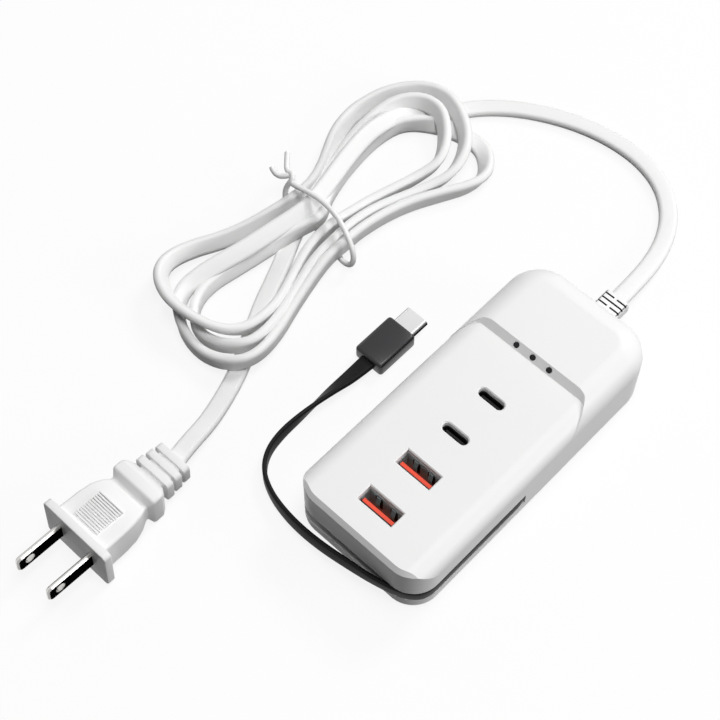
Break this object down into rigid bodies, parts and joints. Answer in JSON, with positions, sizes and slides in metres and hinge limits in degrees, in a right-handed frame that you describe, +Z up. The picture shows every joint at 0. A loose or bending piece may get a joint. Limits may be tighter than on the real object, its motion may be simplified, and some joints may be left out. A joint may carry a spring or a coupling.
{
  "type": "multi port usb desktop charger",
  "caption": "Flat white desktop charger with USB ports on its sloping-stepped top, a captive flat charge lead in a side groove, and a flat mains cord tied in a hank with a two-blade plug.",
  "frame": {"origin": "on the table under the middle of the housing, cord and leads left out", "axes": "+Z up, +Y along the housing towards the mains cord's exit, +X to the right seen from the front"},
  "size_m": [0.1358, 0.2362, 0.024],
  "materials": {
    "white_housing": "white satin moulding",
    "white_cord": "white flexible moulding",
    "white_tie": "white coated wire",
    "black_cord": "black flexible sheath",
    "charcoal_boot": "charcoal moulding",
    "black_plastic": "black moulding",
    "orange_tongue": "orange-red moulding",
    "smoked_pipe": "smoked light guide",
    "lamp_chip": "lamp chip",
    "steel": "plated sheet steel",
    "nickel": "nickel plated brass",
    "gold_contact": "gold plated strip",
    "copper": "lacquered copper wire",
    "circuit_board": "green glass laminate",
    "ferrite": "dark grey ferrite",
    "yellow_tape": "yellow tape and casing",
    "capacitor_sleeve": "dark shrink sleeve",
    "sink_aluminium": "plain sheet",
    "disc_blue": "blue dipped disc",
    "wire_red": "wire sheath",
    "wire_black": "wire sheath",
    "foot_rubber": "grey rubber"
  },
  "bodies": {
    "root": {"bottom_cover": "white_housing", "bridge_rectifier": "black_plastic", "bridging_capacitor": "disc_blue", "bulk_capacitor_1": "capacitor_sleeve", "bulk_capacitor_2": "capacitor_sleeve", "charge_lead": "black_cord", "cord_hank": "white_cord", "cord_strain_relief": "white_cord", "cord_tie": "white_tie", "fuse": "black_plastic", "heat_sink": "sink_aluminium", "housing_screws": "steel", "light_pipe": "smoked_pipe", "live_lead": "wire_red", "main_board": "circuit_board", "mains_choke_core": "ferrite", "mains_choke_winding": "copper", "mains_cord_run": "white_cord", "mains_cord_tail": "white_cord", "neutral_lead": "wire_black", "optocoupler": "black_plastic", "output_capacitor_1": "capacitor_sleeve", "output_capacitor_2": "capacitor_sleeve", "output_inductor_1": "ferrite", "output_inductor_2": "ferrite", "plug_blade_left": "nickel", "plug_blade_right": "nickel", "plug_body": "white_cord", "port_controller_1": "black_plastic", "port_controller_2": "black_plastic", "power_switch": "black_plastic", "rubber_foot_1": "foot_rubber", "rubber_foot_2": "foot_rubber", "rubber_foot_3": "foot_rubber", "rubber_foot_4": "foot_rubber", "safety_capacitor": "yellow_tape", "status_leds": "lamp_chip", "transformer_core": "ferrite", "transformer_winding": "yellow_tape", "upper_housing": "white_housing", "usb_a_front_contacts": "gold_contact", "usb_a_front_shell": "steel", "usb_a_front_tongue": "orange_tongue", "usb_a_rear_contacts": "gold_contact", "usb_a_rear_shell": "steel", "usb_a_rear_tongue": "orange_tongue", "usb_c_front_contacts": "gold_contact", "usb_c_front_shell": "steel", "usb_c_front_tongue": "black_plastic", "usb_c_plug_boot": "charcoal_boot", "usb_c_plug_insert": "black_plastic", "usb_c_plug_shell": "steel", "usb_c_rear_contacts": "gold_contact", "usb_c_rear_shell": "steel", "usb_c_rear_tongue": "black_plastic"}
  },
  "joints": []
}
